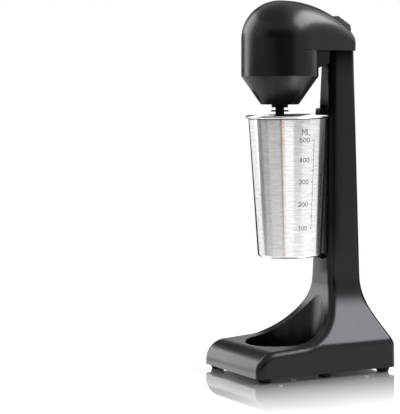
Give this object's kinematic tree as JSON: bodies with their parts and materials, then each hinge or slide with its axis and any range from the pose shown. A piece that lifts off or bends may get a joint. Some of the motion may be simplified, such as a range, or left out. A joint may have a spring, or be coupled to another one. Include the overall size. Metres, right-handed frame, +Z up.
{
  "type": "milkshake mixer",
  "caption": "Countertop drinks mixer: swept stand with a cup recess, round motor head on a column, whisk spindle, hook switch and a hung tapered steel cup.",
  "frame": {"origin": "on the surface the mixer stands on, under the middle of its bounding box", "axes": "+Z up along the column; the cup and head face -Y, so the column is at +Y; +X is the mixer's left seen from the front"},
  "size_m": [0.122, 0.171, 0.3965],
  "materials": {
    "housing": "satin",
    "black_plastic": "satin",
    "inner_plastic": "matte",
    "cup_steel": "brushed",
    "bright_steel": "satin",
    "screw_steel": "satin",
    "foot_rubber": "matte",
    "plate_steel": "satin",
    "core_iron": "matte",
    "commutator_copper": "satin",
    "carbon": "matte",
    "board_green": "satin"
  },
  "bodies": {
    "stand": {"stand_housing": "housing", "base_plate": "black_plastic", "ballast_plate": "plate_steel", "base_screws": "screw_steel", "ballast_screws": "screw_steel", "foot_front_left": "foot_rubber", "foot_front_right": "foot_rubber", "foot_middle_left": "foot_rubber", "foot_middle_right": "foot_rubber", "foot_rear_left": "foot_rubber", "foot_rear_right": "foot_rubber", "cable_grommet": "foot_rubber", "terminal_block": "inner_plastic", "speed_board": "board_green", "board_components": "inner_plastic", "board_screws": "screw_steel", "supply_lead": "foot_rubber", "head_housing": "housing", "arm_cover": "housing", "motor_cone": "housing", "neck_collar": "black_plastic", "column_screws": "screw_steel", "cover_screws": "screw_steel", "cone_screws": "screw_steel", "motor_can": "plate_steel", "motor_end_cap": "plate_steel", "motor_plate": "plate_steel", "motor_screws": "screw_steel", "field_magnets": "core_iron", "lower_bearing": "bright_steel", "upper_bearing": "bright_steel", "carbon_brushes": "carbon", "brush_holders": "inner_plastic", "trigger_guide": "inner_plastic", "microswitch": "inner_plastic", "switch_bezel": "black_plastic", "rocker_pin": "bright_steel", "switch_body": "inner_plastic"},
    "spindle": {"spindle_shaft": "bright_steel", "armature": "core_iron", "commutator": "commutator_copper", "cooling_fan": "inner_plastic", "spindle_sleeve": "black_plastic", "splash_disc": "black_plastic", "agitator_rod": "bright_steel", "whisk_disc_upper": "bright_steel", "whisk_hub": "bright_steel", "whisk_disc_lower": "bright_steel", "whisk_nut": "bright_steel"},
    "rocker": {"switch_rocker": "black_plastic"},
    "trigger": {"cup_trigger": "black_plastic", "microswitch_plunger": "inner_plastic", "trigger_spring": "bright_steel"},
    "cup": {"mixing_cup": "cup_steel"}
  },
  "joints": [
    {"name": "spindle_spin", "type": "hinge", "parent": "stand", "child": "spindle", "pos_m": [0, -0.0255, 0.3], "axis": [0, 0, 1], "continuous": true},
    {"name": "rocker_press", "type": "hinge", "parent": "stand", "child": "rocker", "pos_m": [0, 0.04818, 0.37117], "axis": [-1, 0, 0], "range_deg": [0, 7.6]},
    {"name": "trigger_lift", "type": "slide", "parent": "stand", "child": "trigger", "axis": [0, 0, 1], "range_m": [0, 0.003], "stiffness_N_per_m": 300, "springref_m": -0.003, "deforming": ["trigger_spring"]},
    {"name": "cup_swing", "type": "hinge", "parent": "trigger", "child": "cup", "pos_m": [0, 0.02721, 0.27483], "axis": [-1, 0, 0], "range_deg": [0, 12]}
  ]
}
